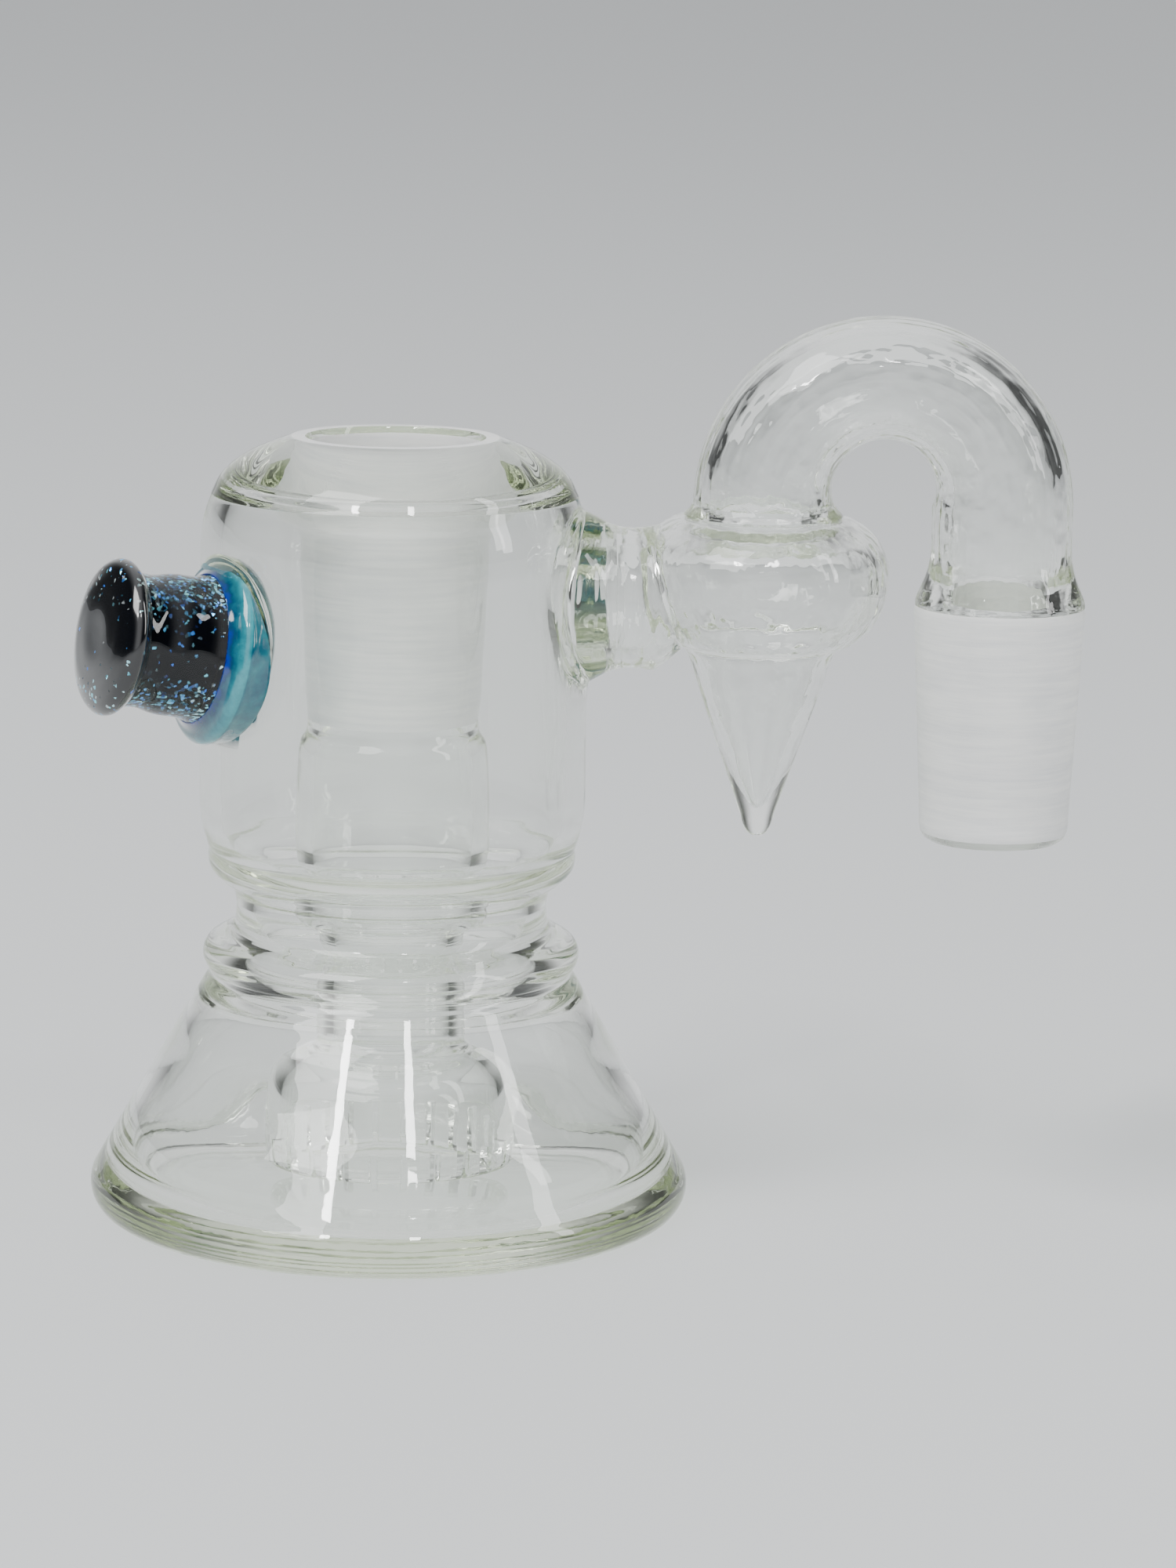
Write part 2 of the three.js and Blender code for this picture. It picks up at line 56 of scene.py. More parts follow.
def turned(name, line, steps, closed=True, smooth=8):
    """Spins a drawn line round the Z axis. A point is (radius, height). A third item makes it a corner."""
    bpy.ops.object.select_all(action="DESELECT")
    bpy.ops.curve.primitive_bezier_curve_add()
    drawn = bpy.context.object
    drawn.name = name
    drawn.data.resolution_u = smooth
    spline = drawn.data.splines[0]
    spline.bezier_points.add(len(line) - 2)
    spline.use_cyclic_u = closed
    for knot, (radius, height, *corner) in zip(spline.bezier_points, line):
        knot.co = Vector((radius, 0, height)) * MM
        knot.handle_left_type = knot.handle_right_type = "VECTOR" if corner else "AUTO"
    bpy.ops.object.convert(target="MESH")
    bpy.ops.object.mode_set(mode="EDIT")
    bpy.ops.mesh.select_all(action="SELECT")
    bpy.ops.mesh.spin(steps=steps, angle=math.tau, center=(0, 0, 0), axis=(0, 0, 1))
    bpy.ops.mesh.select_all(action="SELECT")
    bpy.ops.mesh.remove_doubles(threshold=1e-4 * MM)
    bpy.ops.mesh.normals_make_consistent(inside=False)
    bpy.ops.object.mode_set(mode="OBJECT")
    return drawn


def placed(piece, matrix):
    """Puts a turned piece where it goes, with its place in its mesh."""
    bpy.ops.object.select_all(action="DESELECT")
    bpy.context.view_layer.objects.active = piece
    piece.select_set(True)
    piece.matrix_world = matrix
    bpy.ops.object.transform_apply(location=True, rotation=True, scale=True)
    return piece


def combined(body, other, operation):
    """Joins other to body, or cuts it away, and takes it out of the scene."""
    bpy.ops.object.select_all(action="DESELECT")
    bpy.context.view_layer.objects.active = body
    body.select_set(True)
    change = body.modifiers.new(operation, "BOOLEAN")
    change.operation = operation
    change.object = other
    bpy.ops.object.modifier_apply(modifier=change.name)
    bpy.data.objects.remove(other)
    return body


def melted(body, near, rounds):
    """Softens the creases at the points that near picks, as a flame does."""
    bpy.ops.object.select_all(action="DESELECT")
    bpy.context.view_layer.objects.active = body
    body.select_set(True)
    bpy.ops.object.mode_set(mode="EDIT")
    bpy.ops.mesh.select_all(action="DESELECT")
    bpy.ops.mesh.select_mode(type="VERT")
    bpy.ops.object.mode_set(mode="OBJECT")
    for point in body.data.vertices:
        point.select = near(point.co / MM)
    bpy.ops.object.mode_set(mode="EDIT")
    bpy.ops.mesh.vertices_smooth(factor=0.5, repeat=rounds)
    bpy.ops.object.mode_set(mode="OBJECT")
    return body


def finished(piece, materials, nodes, edge=50):
    """Smooth shading, materials, and what the piece stands for."""
    bpy.ops.object.select_all(action="DESELECT")
    bpy.context.view_layer.objects.active = piece
    piece.select_set(True)
    bpy.ops.object.shade_smooth_by_angle(angle=math.radians(edge))
    for material in materials:
        piece.data.materials.append(material)
    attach(piece, "root")
    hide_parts(*nodes)
    return piece


def linear(code):
    """A #rrggbb colour as linear light."""
    parts = [int(code[i : i + 2], 16) / 255 for i in (1, 3, 5)]
    return [c / 12.92 if c <= 0.04045 else ((c + 0.055) / 1.055) ** 2.4 for c in parts] + [1]


def add(tree, kind, values=None, **settings):
    """A node with its settings and inputs. A value that is a socket is linked."""
    made = tree.nodes.new("ShaderNode" + kind)
    for key, value in settings.items():
        setattr(made, key, value)
    for key, value in (values or {}).items():
        if isinstance(value, bpy.types.NodeSocket):
            tree.links.new(value, made.inputs[key])
        else:
            made.inputs[key].default_value = value
    return made


def glass(name, ripple, depth, striae, flow=None):
    """Fire polished glass. ripple and depth are the size and height of its surface waves, in millimetres.
    striae is the share of the fine lines that drawing the tube left along it. flow names a piece's own
    coordinates, which run along a bent tube."""
    material = bpy.data.materials.new(name)
    material.use_nodes = True
    tree = material.node_tree
    shader = tree.nodes["Principled BSDF"]
    shader.inputs["Base Color"].default_value = linear("#fdfefd")
    shader.inputs["Transmission Weight"].default_value = 1
    shader.inputs["IOR"].default_value = 1.474
    shader.inputs["Roughness"].default_value = 0.01
    where = add(tree, "TexCoord").outputs["Object"]
    if flow:
        where = add(tree, "Attribute", attribute_name=flow).outputs["Vector"]
    waves = add(tree, "TexNoise", {"Vector": where, "Scale": 1 / (ripple * MM), "Detail": 1.5})
    along = add(tree, "Mapping", {"Vector": where, "Scale": (1, 1, 0.1)})
    lines = add(tree, "TexNoise", {"Vector": along.outputs[0], "Scale": 1 / (1.5 * MM), "Detail": 1})
    height = add(tree, "Math", {0: lines.outputs["Fac"], 1: striae}, operation="MULTIPLY_ADD")
    tree.links.new(waves.outputs["Fac"], height.inputs[2])
    bump = add(tree, "Bump", {"Height": height.outputs[0], "Distance": depth * MM, "Strength": 1})
    tree.links.new(bump.outputs[0], shader.inputs["Normal"])
    soak = add(tree, "VolumeAbsorption", {"Color": linear("#dfe8c8"), "Density": 1 / (75 * MM)})
    end = tree.nodes["Material Output"]
    tree.links.new(soak.outputs[0], end.inputs["Volume"])
    # Lamps and the room shine straight through on what is behind, as bent light is too slow to gather.
    path = add(tree, "LightPath")
    through = add(tree, "BsdfTransparent", {"Color": (0.985, 0.99, 0.985, 1)})
    front = shader.outputs[0]
    for ray in ("Is Shadow Ray", "Is Diffuse Ray"):
        mixed = add(tree, "MixShader", {0: path.outputs[ray], 1: front, 2: through.outputs[0]})
        front = mixed.outputs[0]
    tree.links.new(front, end.inputs["Surface"])
    return material


clear = glass("borosilicate glass, fire polished", 8, 0.05, 0.12)

rim, cone, waist = map(span, ("base_rim", "flask_wall", "waist_neck"))
upper_ring, can = span("upper_maria"), span("can_wall")
FIT = 0.02  # keeps a round edge inside the CAD's box
BASE_R = rim[1].x - FIT
ROLL = 3.3  # radius of the rolled rim
CAN_R = can[1].y
SEAM = can[1].z  # the can's top, under the crown
NECK = waist[0].z
SHOULDER = cone[1].z
RING = upper_ring[0].z
FOOT = can[0].z
WAIST_R = 17.1
WAIST_BORE = 14.9
CAN_WALL = 2.3
FLASK_WALL = 2.3
FLOOR_TOP = 2.45
RIM_FOOT = 0.05  # gap under the rim, so the glass and the floor don't share a face
GAP = 0.03  # between two pieces that are welded, for the same reason
roll_centre = BASE_R - ROLL


def cone_r(height):
    """Radius of the cone's outside."""
    start, end = (BASE_R - 0.42, 4.9), (19.9, SHOULDER)
    return start[0] + (end[0] - start[0]) * (height - start[1]) / (end[1] - start[1])


outside = [(0, 0.45), (15, 0.4), (25, 0.25), (28.2, 0.09), (roll_centre, RIM_FOOT)]
for turn in (-58, -30, -2, 20):
    a = math.radians(turn)
    outside.append((roll_centre + ROLL * math.cos(a), ROLL + ROLL * math.sin(a)))
outside += [(cone_r(z), z) for z in (5.4, 8, 16, 24, 26)]
outside += [
    (20.0, SHOULDER - 0.1),
    (20.4, SHOULDER + 0.6),
    (20.75, SHOULDER + 1.8),
    (20.3, SHOULDER + 3.1),
    (19.2, NECK - 0.25),
    (18.1, NECK + 0.3),
    (WAIST_R + 0.25, NECK + 1.2),
    (WAIST_R, NECK + 2.5),
    (WAIST_R + 0.05, RING - 1.4),
    (WAIST_R + 0.5, RING - 0.1),
    (19.0, RING + 1.1),
    (20.0, RING + 2.3),
    (20.2, RING + 3.4),
    (20.15, RING + 4.2),
    (20.4, FOOT + 0.3),
    (20.9, FOOT + 2.2),
    (CAN_R, FOOT + 4.8),
    (CAN_R, FOOT + 7),
    (CAN_R, SEAM - 9.5),
    (CAN_R, SEAM - 7),
    (CAN_R - 0.35, SEAM - 3),
    (CAN_R - 1.25, SEAM, "corner"),
    (0, SEAM, "corner"),
]
inside = [
    (0, SEAM + 1, "corner"),
    (CAN_R - 3.5, SEAM + 1, "corner"),
    (CAN_R - 3.5, SEAM),
    (CAN_R - CAN_WALL - 0.35, SEAM - 3.2),
    (CAN_R - CAN_WALL, SEAM - 7),
    (CAN_R - CAN_WALL, SEAM - 9.5),
    (CAN_R - CAN_WALL, FOOT + 7),
    (CAN_R - CAN_WALL, FOOT + 4.8),
    (18.5, FOOT + 1.6),
    (17.5, FOOT - 0.4),
    (16.0, FOOT - 1.9),
    (15.1, FOOT - 3.4),
    (WAIST_BORE, FOOT - 5),
    (WAIST_BORE, FOOT - 7.4),
    (WAIST_BORE, NECK + 0.4),
    (WAIST_BORE, NECK - 1.8),
    (15.7, SHOULDER + 0.3),
    (17.4, SHOULDER - 1.9),
    (19.9, SHOULDER - 4),
    (cone_r(16) - FLASK_WALL, 16),
    (cone_r(8) - FLASK_WALL, 8),
    (28.95, 5.6),
    (28.2, 3.7),
    (26.5, 2.75),
    (22, 2.5),
    (10, FLOOR_TOP),
    (0, FLOOR_TOP),
]
vessel = turned("flask_and_can", outside, 160, closed=False)
hollow = turned("hollow", inside, 160, closed=False)

arm = span("side_arm")
ARM_Z = (arm[0].z + arm[1].z) / 2
ARM_R = arm[1].y
ARM_BORE = ARM_R - 2
ARM_SEAM = CAN_R + 2.8  # where the arm is welded on the flare
ARM_GAP = 0.02
SEAM_R = ARM_R + 0.27
FLARE_R = 9.9  # the flare's foot on the can
flare = turned(
    "flare",
    [
        (0, 15, "corner"),
        (FLARE_R, 15, "corner"),
        (FLARE_R, CAN_R - 1.9),
        (9.6, CAN_R - 0.6),
        (8.75, CAN_R + 1.1),
        (8.2, CAN_R + 2.1),
        (SEAM_R, ARM_SEAM, "corner"),
        (0, ARM_SEAM, "corner"),
    ],
    112,
    closed=False,
)
along_arm = Matrix.Translation(Vector((0, 0, ARM_Z)) * MM) @ Matrix.Rotation(math.pi / 2, 4, "Y")
combined(vessel, placed(flare, along_arm), "UNION")

KNOB_AZIMUTH = math.radians(204)
KNOB_TILT = math.radians(10.5)
KNOB_Z = 63.8
knob_foot = Vector((CAN_R * math.cos(KNOB_AZIMUTH), CAN_R * math.sin(KNOB_AZIMUTH), KNOB_Z)) * MM
along_knob = (
    Matrix.Translation(knob_foot)
    @ Matrix.Rotation(KNOB_AZIMUTH, 4, "Z")
    @ Matrix.Rotation(-KNOB_TILT, 4, "Y")
    @ Matrix.Rotation(math.pi / 2, 4, "Y")
)
lump_line = [(0, -5.9), (5.3, -5.1), (8.7, -3.6), (10.4, -1.6), (10.6, 0)]
lump_line += [(10.6, 3, "corner"), (0, 3, "corner")]
lump = turned("lump", lump_line, 96, closed=False)
combined(hollow, placed(lump, along_knob), "DIFFERENCE")
combined(vessel, hollow, "DIFFERENCE")
bore_line = [
    (0, 12, "corner"),
    (ARM_BORE, 12, "corner"),
    (ARM_BORE, ARM_SEAM + 1, "corner"),
    (0, ARM_SEAM + 1, "corner"),
]
bore = turned("bore", bore_line, 112, closed=False)
combined(vessel, placed(bore, along_arm), "DIFFERENCE")


def at_flare(p):
    """Near the crease where the arm's flare meets the can, and not on the arm's own end."""
    out = math.hypot(p.y, p.z - ARM_Z)
    return 9.0 < out < 11.4 and p.x > 14 and math.hypot(p.x, p.y) > CAN_R - 1


melted(vessel, at_flare, 12)
finished(
    vessel,
    [clear],
    [
        "chamber_floor",
        "base_rim",
        "flask_wall",
        "lower_maria",
        "waist_neck",
        "upper_maria",
        "can_wall",
        "arm_weld_flare",
        "knob_weld_bump",
    ],
)

# ---- Crown with the inlet joint ----
# The thick domed top, sealed to the can along a line that stays visible, carries a ground socket. Its bore
# was ground with silicon carbide grit to a taper of one in ten, so it is white, and the tube goes on below
# it as a wider clear collar.


def ground(name, pitch):
    """Glass ground with wet grit on a turning tool. It is white, and pitch is the size of the fine level
    lines that the tool leaves, in millimetres, drawn coarser than the real ones so that they show."""
    material = bpy.data.materials.new(name)
    material.use_nodes = True
    tree = material.node_tree
    shader = tree.nodes["Principled BSDF"]
    shader.inputs["Transmission Weight"].default_value = 0.2
    shader.inputs["IOR"].default_value = 1.474
    where = add(tree, "TexCoord").outputs["Object"]
    level = add(tree, "Mapping", {"Vector": where, "Scale": (0.05, 0.05, 1)})
    ring_size = {"Vector": level.outputs[0], "Scale": 1 / (pitch * MM), "Detail": 3, "Roughness": 0.7}
    lines = add(tree, "TexNoise", ring_size)
    grit = add(tree, "TexNoise", {"Vector": where, "Scale": 1 / (0.3 * MM), "Detail": 2})
    cloud = add(tree, "TexNoise", {"Vector": where, "Scale": 1 / (6 * MM), "Detail": 3})
    both = add(tree, "Math", {0: grit.outputs["Fac"], 1: 0.4}, operation="MULTIPLY_ADD")
    tree.links.new(lines.outputs["Fac"], both.inputs[2])
    bump = add(tree, "Bump", {"Height": both.outputs[0], "Distance": 0.04 * MM, "Strength": 0.8})
    tree.links.new(bump.outputs[0], shader.inputs["Normal"])
    tone = add(tree, "Math", {0: cloud.outputs["Fac"], 1: 0.5}, operation="MULTIPLY_ADD")
    tree.links.new(lines.outputs["Fac"], tone.inputs[2])
    white = add(tree, "ValToRGB", {"Fac": tone.outputs[0]})
    white.color_ramp.elements[0].position = 0.55
    white.color_ramp.elements[0].color = linear("#ebeced")
    white.color_ramp.elements[1].position = 0.95
    white.color_ramp.elements[1].color = linear("#fdfdfb")
    tree.links.new(white.outputs[0], shader.inputs["Base Color"])
    haze = add(tree, "MapRange", {"Value": both.outputs[0], "To Min": 0.4, "To Max": 0.6})
    tree.links.new(haze.outputs[0], shader.inputs["Roughness"])
    return material


frosted = ground("borosilicate glass, ground with grit", 0.6)

crown, socket, collar = span("can_crown"), span("inlet_joint"), span("downtube_collar")
MOUTH = crown[1].z
SOCKET_END = socket[0].z
TAPER = 0.1
SOCKET_R = 9.4
SOCKET_WALL = 1.3
CLEAR_RING = 1.2  # height left unground at the socket's lower end
COLLAR_R = collar[1].x
COLLAR_BORE = COLLAR_R - 1.7


def socket_r(height):
    """Radius of the ground bore, which narrows one in ten."""
    return SOCKET_R - TAPER / 2 * (SEAM - height)


crown_line = [
    (CAN_R - 1.25, SEAM + GAP, "corner"),
    (CAN_R - 2.3, SEAM + 2.0),
    (CAN_R - 4.4, SEAM + 3.8),
    (CAN_R - 7.2, SEAM + 5.2),
    (CAN_R - 9.2, SEAM + 5.95),
    (11.5, MOUTH - 0.05, "corner"),
    (11.3, MOUTH, "corner"),
    (9.85, MOUTH, "corner"),
    (9.5, MOUTH - 0.7, "corner"),
    (SOCKET_R, SEAM),
    (socket_r(67), 67),
    (socket_r(SOCKET_END + CLEAR_RING), SOCKET_END + CLEAR_RING, "corner"),
    (socket_r(SOCKET_END), SOCKET_END + 0.4, "corner"),
    (socket_r(SOCKET_END) + 0.15, SOCKET_END - 0.2),
    (COLLAR_R - 1.85, SOCKET_END - 1.5),
    (COLLAR_BORE, SOCKET_END - 3.4),
    (COLLAR_BORE, NECK + 5.6),
    (COLLAR_R - 1.9, NECK + 3.6),
    (7.0, NECK + 1.6),
    (6.3, NECK, "corner"),
    (8.0, NECK, "corner"),
    (8.6, NECK + 1.2),
    (10.0, NECK + 2.9),
    (COLLAR_R, NECK + 4.8),
    (COLLAR_R, SOCKET_END - 3.2),
    (COLLAR_R - 0.25, SOCKET_END - 1.2),
    (socket_r(SOCKET_END) + SOCKET_WALL + 0.1, SOCKET_END),
    (socket_r(58) + SOCKET_WALL, 58),
    (socket_r(72) + SOCKET_WALL, 72),
    (socket_r(75) + SOCKET_WALL, 75),
    (11.2, 76.3),
    (12.9, 77.3),
    (14.3, 78.8),
    (15.2, 80.3),
    (16.4, 80.9),
    (CAN_R - 3.5, SEAM + GAP, "corner"),
]
crown_piece = turned("crown_with_inlet_joint", crown_line, 144)
finished(
    crown_piece,
    [clear, frosted],
    ["can_crown", "inlet_joint", "joint_weld_ring", "downtube_collar"],
    edge=35,
)
for face in crown_piece.data.polygons:
    middle = face.center / MM
    out = math.hypot(middle.x, middle.y)
    if SOCKET_END + CLEAR_RING < middle.z < MOUTH - 0.75 and out < socket_r(middle.z) + 0.3:
        face.material_index = 1
    if middle.z > MOUTH - 0.01:
        face.material_index = 1

# ---- Downtube with its diffuser ----
# The tube drops into the flask and ends in a closed bell. The bell's skirt was slit with a diamond wheel,
# so that the gas leaves in small bubbles, and the slits have sharp, straight sides.
bell, skirt = span("diffuser_dome"), span("diffuser_skirt")
BELL_R = bell[1].x
BELL_TOP = bell[1].z
BELL_Z = bell[0].z
SKIRT_Z = skirt[0].z
TUBE_R = 8.0
TUBE_WALL = 1.7
tube_line = [
    (TUBE_R, NECK - GAP, "corner"),
    (TUBE_R, NECK - 3),
    (TUBE_R, BELL_TOP + 3),
    (TUBE_R + 0.1, BELL_TOP + 0.6),
    (TUBE_R + 1.3, BELL_TOP - 0.9),
    (BELL_R - 1.9, BELL_Z + 5.2),
    (BELL_R - 0.45, BELL_Z + 2.7),
    (BELL_R, BELL_Z),
    (BELL_R, BELL_Z - 3),
    (BELL_R - 0.05, SKIRT_Z + 1.6),
    (BELL_R - 0.35, SKIRT_Z + 0.3),
    (BELL_R - 0.85, SKIRT_Z),
    (BELL_R - 1.5, SKIRT_Z + 0.3),
    (BELL_R - TUBE_WALL, SKIRT_Z + 1.6),
    (BELL_R - TUBE_WALL, BELL_Z - 3),
    (BELL_R - TUBE_WALL, BELL_Z),
    (BELL_R - TUBE_WALL - 0.5, BELL_Z + 2.1),
    (BELL_R - TUBE_WALL - 2.2, BELL_Z + 4.2),
    (TUBE_R + 0.3, BELL_TOP - 2.2),
    (TUBE_R - TUBE_WALL + 0.2, BELL_TOP - 0.6),
    (TUBE_R - TUBE_WALL, BELL_TOP + 1),
    (TUBE_R - TUBE_WALL, BELL_TOP + 3),
    (TUBE_R - TUBE_WALL, NECK - 3),
    (TUBE_R - TUBE_WALL, NECK - GAP, "corner"),
]
downtube = turned("downtube_with_diffuser", tube_line, 144)
SLIT_PAIRS = 12
SLIT_W = 0.8
SLIT_H = 4.4
bpy.ops.object.select_all(action="DESELECT")
bpy.ops.mesh.primitive_cube_add(size=1)
blade = bpy.context.object
blade.scale = (3 * BELL_R * MM, SLIT_W * MM, 2 * SLIT_H * MM)
blade.location = (0, 0, SKIRT_Z * MM)
blade.rotation_euler = (0, 0, math.pi / 2 / SLIT_PAIRS)
bpy.ops.object.transform_apply(location=True, rotation=True, scale=True)
blades_mesh = blade.data.copy()
for pair in range(1, SLIT_PAIRS):
    other = blade.copy()
    other.data = blades_mesh.copy()
    bpy.context.scene.collection.objects.link(other)
    placed(other, Matrix.Rotation(math.pi * pair / SLIT_PAIRS, 4, "Z"))
    combined(blade, other, "UNION")
combined(downtube, blade, "DIFFERENCE")
finished(downtube, [clear], ["downtube", "diffuser_dome", "diffuser_skirt"], edge=40)

# ---- Side arm, bulb and drip cone ----
# A tube leads from the can into a borosilicate bulb that was pressed flat while soft. A hollow cone was
# pulled out of the bulb's underside and its tip burnt off, so drops run down it.
bulb, drip = span("arm_bulb"), span("drip_cone")
BULB_X = (drip[0].x + drip[1].x) / 2
BULB_R = bulb[1].y
BULB_Z = bulb[0].z
BULB_TOP = bulb[1].z
TIP_Z = drip[0].z
bulb_line = [
    (0, TIP_Z),
    (0.75, TIP_Z + 0.2),
    (1.35, TIP_Z + 0.9),
    (1.9, TIP_Z + 2.6),
    (6.9, BULB_Z - 4.2),
    (7.7, BULB_Z - 1.7),
    (8.5, BULB_Z - 0.2),
    (10.5, BULB_Z + 0.8),
    (12.8, BULB_Z + 3.4),
    (BULB_R, BULB_Z + 7.4),
    (13.1, BULB_TOP - 3.1),
    (11.2, BULB_TOP - 0.9),
    (9.6, BULB_TOP - 0.1),
    (8.6, BULB_TOP, "corner"),
    (0, BULB_TOP, "corner"),
]
bulb_hollow = [
    (0, TIP_Z + 3.4),
    (0.4, TIP_Z + 3.7),
    (5.4, BULB_Z - 4.4),
    (6.2, BULB_Z - 1.6),
    (7.4, BULB_Z + 0.6),
    (9.4, BULB_Z + 2.2),
    (10.9, BULB_Z + 4.2),
    (BULB_R - 2.2, BULB_Z + 7.4),
    (11.2, BULB_TOP - 4.2),
    (9.4, BULB_TOP - 2.6),
    (7.2, BULB_TOP - 1.7),
    (ARM_BORE + 0.2, BULB_TOP - 0.9),
    (ARM_BORE, BULB_TOP),
    (ARM_BORE, BULB_TOP + 1, "corner"),
    (0, BULB_TOP + 1, "corner"),
]
to_bulb = Matrix.Translation(Vector((BULB_X, 0, 0)) * MM)
arm_piece = placed(turned("side_arm_with_bulb", bulb_line, 128, closed=False), to_bulb)
bulb_void = placed(turned("bulb_void", bulb_hollow, 128, closed=False), to_bulb)
tube = turned(
    "tube",
    [
        (0, ARM_SEAM + ARM_GAP, "corner"),
        (SEAM_R, ARM_SEAM + ARM_GAP, "corner"),
        (ARM_R + 0.08, ARM_SEAM + 0.8),
        (ARM_R, ARM_SEAM + 1.8),
        (ARM_R + 0.12, BULB_X - BULB_R + 1.2),
        (ARM_R + 0.4, BULB_X - BULB_R + 2.4, "corner"),
        (ARM_BORE, BULB_X - BULB_R + 5, "corner"),
        (0, BULB_X - BULB_R + 5, "corner"),
    ],
    112,
    closed=False,
)
combined(arm_piece, placed(tube, along_arm), "UNION")
arm_void = turned(
    "arm_void",
    [
        (0, ARM_SEAM - 1, "corner"),
        (ARM_BORE, ARM_SEAM - 1, "corner"),
        (ARM_BORE, BULB_X - BULB_R + 1),
        (ARM_BORE - 0.9, BULB_X - BULB_R + 3.4, "corner"),
        (ARM_BORE - 0.9, BULB_X, "corner"),
        (0, BULB_X, "corner"),
    ],
    112,
    closed=False,
)
combined(bulb_void, placed(arm_void, along_arm), "UNION")
combined(arm_piece, bulb_void, "DIFFERENCE")


def at_bulb(p):
    """Near the crease where the arm runs into the bulb."""
    out = math.hypot(p.y, p.z - ARM_Z)
    return ARM_R - 0.9 < out < ARM_R + 1.8 and ARM_SEAM + 2 < p.x < BULB_X - 5


melted(arm_piece, at_bulb, 10)
worked = glass("borosilicate glass, shaped in a flame", 2.8, 0.12, 0.6)
finished(arm_piece, [worked], ["side_arm", "arm_bulb", "drip_cone"])

# ---- Gooseneck ----
# Drawn tube bent through half a turn over a flame, which flattened it a little towards the inside of the
# bend. It is welded on the bulb with a small bead, and it opens into a flare above the outlet joint.
neck, outlet = span("gooseneck"), span("outlet_joint")
BEND_X = (BULB_X + (outlet[0].x + outlet[1].x) / 2) / 2
BEND_R = BEND_X - BULB_X
BEND_Z = neck[1].z - BEND_R - ARM_R
BEND_FLAT = 0.13  # share of its height that the tube loses at the crown of the bend
LEG_Z = neck[0].z
OUTLET_X = BEND_X + BEND_R
OUTLET_TOP = outlet[1].z
OUTLET_END = outlet[0].z
OUTLET_BORE = 5.4


def pulled(name, radii_up, radii_down):
    """A tube's skin, open at both ends: rings up from the bulb, half a turn, then rings down to the joint."""
    bpy.ops.object.select_all(action="DESELECT")
    first, *others = radii_up
    start = (BULB_X * MM, 0, first[1] * MM)
    bpy.ops.mesh.primitive_circle_add(vertices=112, radius=first[0] * MM, location=start, fill_type="NOTHING")
    skin = bpy.context.object
    skin.name = name
    bpy.ops.object.transform_apply(location=True, rotation=True, scale=True)
    bpy.ops.object.mode_set(mode="EDIT")
    bpy.ops.mesh.select_all(action="SELECT")
    last = first
    for radius, height in others:
        rise = (0, 0, (height - last[1]) * MM)
        bpy.ops.mesh.extrude_region_move(TRANSFORM_OT_translate={"value": rise})
        share = radius / last[0]
        middle = (BULB_X * MM, 0, height * MM)
        bpy.ops.transform.resize(value=(share, share, 1), center_override=middle)
        last = (radius, height)
    bpy.ops.mesh.spin(steps=72, angle=math.pi, center=(BEND_X * MM, 0, BEND_Z * MM), axis=(0, -1, 0))
    last = (last[0], BEND_Z)
    for radius, height in radii_down:
        rise = (0, 0, (height - last[1]) * MM)
        bpy.ops.mesh.extrude_region_move(TRANSFORM_OT_translate={"value": rise})
        share = radius / last[0]
        middle = (OUTLET_X * MM, 0, height * MM)
        bpy.ops.transform.resize(value=(share, share, 1), center_override=middle)
        last = (radius, height)
    bpy.ops.object.mode_set(mode="OBJECT")
    return skin


flare_down = [
    (ARM_R, BEND_Z - 1.5),
    (ARM_R, BEND_Z - 3),
    (ARM_R, LEG_Z + 1),
    (ARM_R + 0.05, LEG_Z),
    (ARM_R + 0.25, LEG_Z - 1.2),
    (ARM_R + 0.6, LEG_Z - 2.4),
    (ARM_R + 1.05, LEG_Z - 3.5),
    (ARM_R + 1.4, LEG_Z - 4.3),
    (ARM_R + 1.6, LEG_Z - 4.9),
    (ARM_R + 1.62, OUTLET_TOP + GAP),
]
bore_down = [(ARM_BORE, BEND_Z - 1.5), (ARM_BORE, LEG_Z), (OUTLET_BORE, OUTLET_TOP + GAP)]
bead_up = [
    (8.6, BULB_TOP + GAP),
    (8.7, BULB_TOP + 0.3),
    (8.45, BULB_TOP + 0.6),
    (8.1, BULB_TOP + 0.9),
    (7.8, BULB_TOP + 1.4),
    (ARM_R, BEND_Z),
]
gooseneck = pulled("gooseneck_tube", bead_up, flare_down)
inner_skin = pulled("inner_skin", [(ARM_BORE, BULB_TOP + GAP), (ARM_BORE, BEND_Z)], bore_down)
bpy.ops.object.mode_set(mode="EDIT")
bpy.ops.mesh.select_all(action="SELECT")
bpy.ops.mesh.flip_normals()
bpy.ops.object.mode_set(mode="OBJECT")
bpy.ops.object.select_all(action="DESELECT")
inner_skin.select_set(True)
gooseneck.select_set(True)
bpy.context.view_layer.objects.active = gooseneck
bpy.ops.object.join()
bpy.ops.object.mode_set(mode="EDIT")
bpy.ops.mesh.select_all(action="SELECT")
bpy.ops.mesh.remove_doubles(threshold=1e-4 * MM)
bpy.ops.mesh.select_mode(type="VERT")
for end_z, left in ((BULB_TOP + GAP, True), (OUTLET_TOP + GAP, False)):
    bpy.ops.mesh.select_all(action="DESELECT")
    bpy.ops.object.mode_set(mode="OBJECT")
    for point in gooseneck.data.vertices:
        point.select = abs(point.co.z / MM - end_z) < 1e-3 and (point.co.x / MM < BEND_X) == left
    bpy.ops.object.mode_set(mode="EDIT")
    bpy.ops.mesh.select_mode(type="EDGE")
    bpy.ops.mesh.bridge_edge_loops()
    bpy.ops.mesh.select_mode(type="VERT")
